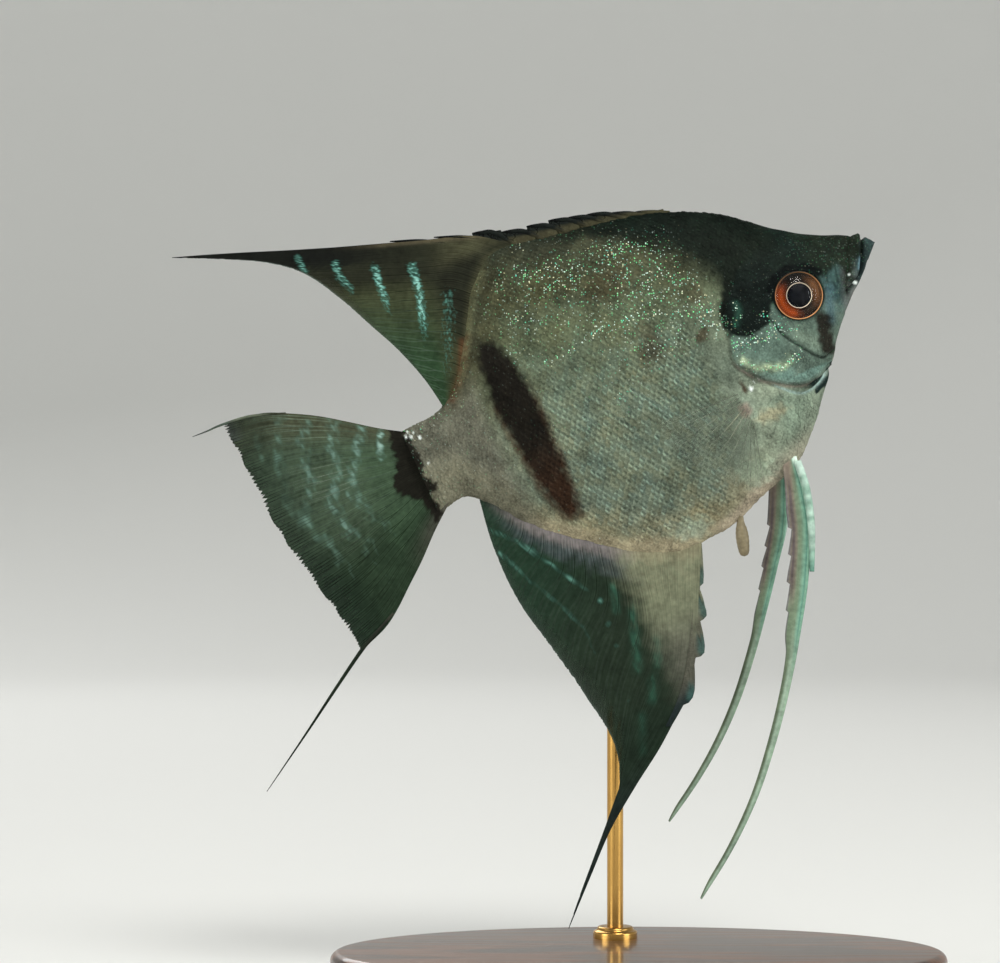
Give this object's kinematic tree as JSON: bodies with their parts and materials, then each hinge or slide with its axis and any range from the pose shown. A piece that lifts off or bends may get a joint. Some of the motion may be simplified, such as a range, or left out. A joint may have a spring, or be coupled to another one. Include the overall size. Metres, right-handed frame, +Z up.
{
  "type": "freshwater angelfish",
  "caption": "Freshwater angelfish model, nose tilted up, tall flat body with swept fins and long trailing threads, held by a bent rod over an oval base.",
  "frame": {"origin": "centre of the underside of the stand's oval base", "axes": "+X towards the front, where the fish's snout points; +Y to the fish's left; +Z up"},
  "size_m": [0.1157, 0.056, 0.1156],
  "materials": {
    "skin": "silvery grey-green fish skin with fine scales, satin wet sheen",
    "dark_skin": "greenish black fish skin with fine scales, satin wet sheen",
    "fin_web": "thin dark olive membrane over fine rays, with turquoise spots",
    "pale_fin": "thin pale mint membrane over fine rays",
    "eye": "orange iris under a clear polished lens",
    "tube_skin": "smooth pale tan skin",
    "stained_wood": "dark stain under satin varnish",
    "brass": "satin drawn bar"
  },
  "bodies": {
    "root": {"head": "dark_skin", "upper_jaw": "dark_skin", "lower_jaw": "skin", "gill_cover_right": "skin", "gill_cover_left": "skin", "eye_right": "eye", "eye_left": "eye", "trunk": "skin", "tail_stem": "skin", "dorsal_fin": "fin_web", "anal_fin": "fin_web", "tail_fin": "fin_web", "pectoral_fin_right": "pale_fin", "pectoral_fin_left": "pale_fin", "pelvic_fin_right": "pale_fin", "pelvic_fin_left": "pale_fin", "breeding_tube": "tube_skin", "stand_base": "stained_wood", "stand_rod": "brass", "stand_collar": "brass"}
  },
  "joints": []
}
